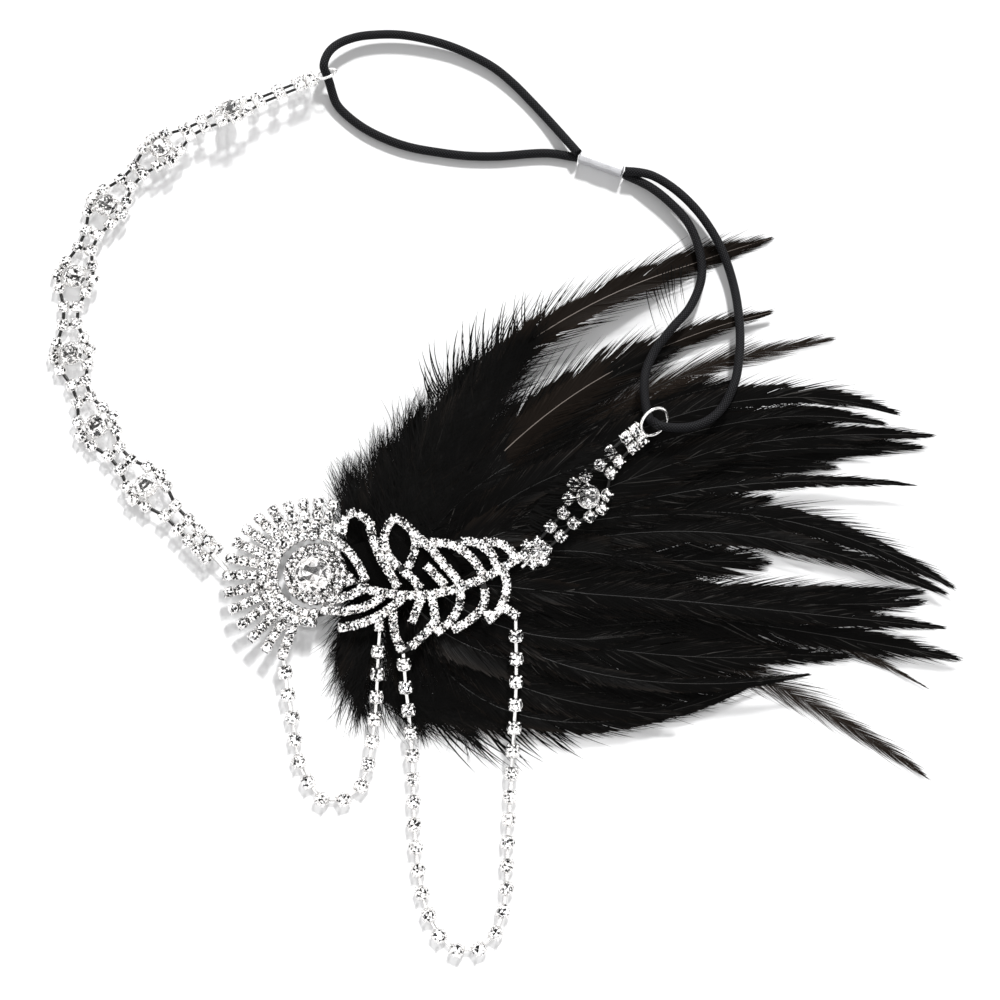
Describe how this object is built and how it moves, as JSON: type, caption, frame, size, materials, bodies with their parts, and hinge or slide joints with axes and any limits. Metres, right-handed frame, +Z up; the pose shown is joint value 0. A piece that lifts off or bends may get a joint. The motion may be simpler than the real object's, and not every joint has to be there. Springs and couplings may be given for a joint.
{
  "type": "feather headpiece",
  "caption": "Head chain with a pierced peacock-feather ornament of set stones on a black plume, jewelled side chains, hanging chain loops and an elastic back.",
  "frame": {"origin": "middle of the base that the headpiece lies on, measured without the elastic loops and their crimp", "axes": "+X along the ornament's quill towards the feather tips, +Y towards the back of the head and the elastic, +Z up out of the stones' faces"},
  "size_m": [0.274, 0.286, 0.0157],
  "materials": {
    "silver": "bright plated metal",
    "crystal": "cut and foiled glass",
    "feather": "dyed black feather with a brown cast",
    "elastic": "black braided cover",
    "crimp_steel": "rolled and pressed"
  },
  "bodies": {
    "root": {"ornament_frame": "silver", "eye_stone": "crystal", "band_chain": "silver", "band_stone_1": "crystal", "band_stone_2": "crystal", "band_stone_3": "crystal", "band_stone_4": "crystal", "band_stone_5": "crystal", "band_stone_6": "crystal", "band_stone_7": "crystal", "side_chain": "silver", "side_stone": "crystal", "swag_short": "silver", "swag_long": "silver", "plume": "feather", "elastic_left": "elastic", "elastic_right": "elastic", "crimp": "crimp_steel"}
  },
  "joints": []
}
